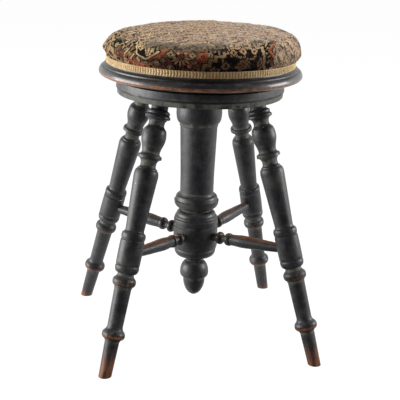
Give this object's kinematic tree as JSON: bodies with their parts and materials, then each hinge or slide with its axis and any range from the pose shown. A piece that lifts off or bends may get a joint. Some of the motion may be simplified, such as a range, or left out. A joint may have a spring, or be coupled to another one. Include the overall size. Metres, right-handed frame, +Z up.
{
  "type": "revolving piano stool",
  "caption": "Piano stool on splayed turned legs, braced to a turned centre column, with a round upholstered seat that turns on an iron screw to set its height.",
  "frame": {"origin": "on the floor under the column's axis, midway between the feet", "axes": "+Z up along the column and the screw, -Y to the front of the stool, +X to its right"},
  "size_m": [0.3614, 0.3614, 0.5204],
  "materials": {
    "ebonised_wood": "satin black stain rubbed brown at the beads and feet",
    "rubbed_wood": "satin black stain rubbed red-brown along the top",
    "iron": "dark and matt",
    "steel_screws": "dulled",
    "horsehair": "matt",
    "woven_carpet": "flat-woven traditional carpet pattern, faded on top",
    "gold_braid": "ribbed tan braid",
    "brass_pins": "dull"
  },
  "bodies": {
    "base": {"base_plate": "ebonised_wood", "column": "ebonised_wood", "finial": "ebonised_wood", "leg_front_left": "ebonised_wood", "leg_front_right": "ebonised_wood", "leg_back_right": "ebonised_wood", "leg_back_left": "ebonised_wood", "stretcher_front_left": "rubbed_wood", "stretcher_front_right": "rubbed_wood", "stretcher_back_right": "rubbed_wood", "stretcher_back_left": "rubbed_wood", "spindle_nut": "iron", "nut_screws": "steel_screws"},
    "stop": {"stop_washer": "iron"},
    "seat": {"screw_spindle": "iron", "stop_screw": "steel_screws", "seat_flange": "iron", "flange_screws": "steel_screws", "seat_board": "ebonised_wood", "hair_pad": "horsehair", "seat_cover": "woven_carpet", "gimp_braid": "gold_braid", "gimp_pins": "brass_pins"}
  },
  "joints": [
    {"name": "seat_rise", "type": "slide", "parent": "base", "child": "stop", "axis": [0, 0, 1], "range_m": [0, 0.119]},
    {"name": "seat_turn", "type": "hinge", "parent": "stop", "child": "seat", "pos_m": [0, 0, 0.44], "axis": [0, 0, 1], "range_deg": [0, 5040]}
  ],
  "couplings": [
    {"joint": "seat_rise", "follows": "seat_turn", "m_per_rad": 0.0013528}
  ]
}
